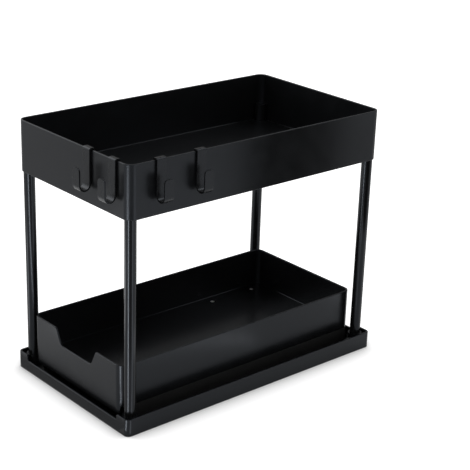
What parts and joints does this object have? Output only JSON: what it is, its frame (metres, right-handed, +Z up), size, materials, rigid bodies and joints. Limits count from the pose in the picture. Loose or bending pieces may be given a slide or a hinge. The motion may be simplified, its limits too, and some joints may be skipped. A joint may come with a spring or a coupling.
{
  "type": "pull-out cabinet organizer",
  "caption": "Two-tier under-cabinet organizer: a drawer slides out of a low tray on rails, four posts carry a fixed basket, and hooks hang from its rim.",
  "frame": {"origin": "middle of the tray's flat underside, at the surface that the organizer stands on", "axes": "+Z up, +X across the width to the side with the hooks, -Y the way the drawer slides out"},
  "size_m": [0.2395, 0.4035, 0.3223],
  "materials": {
    "satin_black_plastic": "fine satin moulded black",
    "black_coated_steel": "smooth semi-gloss black coating on steel tube",
    "rail_plastic": "matt black extruded plastic",
    "white_acetal": "slippery natural white acetal",
    "black_hook_plastic": "smooth black moulded plastic",
    "zinc_plated_steel": "zinc plated"
  },
  "bodies": {
    "frame": {"base_tray": "satin_black_plastic", "slide_rail_left": "rail_plastic", "slide_rail_right": "rail_plastic", "rail_screw_left_1": "zinc_plated_steel", "rail_screw_left_2": "zinc_plated_steel", "rail_screw_left_3": "zinc_plated_steel", "rail_screw_right_1": "zinc_plated_steel", "rail_screw_right_2": "zinc_plated_steel", "rail_screw_right_3": "zinc_plated_steel", "post_front_left": "black_coated_steel", "post_front_right": "black_coated_steel", "post_back_left": "black_coated_steel", "post_back_right": "black_coated_steel", "upper_basket": "satin_black_plastic"},
    "drawer": {"sliding_drawer": "satin_black_plastic", "rear_glide_left": "white_acetal", "rear_glide_right": "white_acetal", "glide_screw_left_1": "zinc_plated_steel", "glide_screw_left_2": "zinc_plated_steel", "glide_screw_right_1": "zinc_plated_steel", "glide_screw_right_2": "zinc_plated_steel"},
    "hook_front_right": {"front_hook_1": "black_hook_plastic"},
    "hook_front_middle": {"front_hook_2": "black_hook_plastic"},
    "hook_side_front": {"side_hook_1": "black_hook_plastic"},
    "hook_side_middle": {"side_hook_2": "black_hook_plastic"}
  },
  "joints": [
    {"name": "drawer_slide", "type": "slide", "parent": "frame", "child": "drawer", "axis": [0, -1, 0], "range_m": [0, 0.24]},
    {"name": "front_hook_1_lift", "type": "slide", "parent": "frame", "child": "hook_front_right", "axis": [0, 0, 1], "range_m": [0, 0.06]},
    {"name": "front_hook_2_lift", "type": "slide", "parent": "frame", "child": "hook_front_middle", "axis": [0, 0, 1], "range_m": [0, 0.06]},
    {"name": "side_hook_1_lift", "type": "slide", "parent": "frame", "child": "hook_side_front", "axis": [0, 0, 1], "range_m": [0, 0.06]},
    {"name": "side_hook_2_lift", "type": "slide", "parent": "frame", "child": "hook_side_middle", "axis": [0, 0, 1], "range_m": [0, 0.06]}
  ]
}
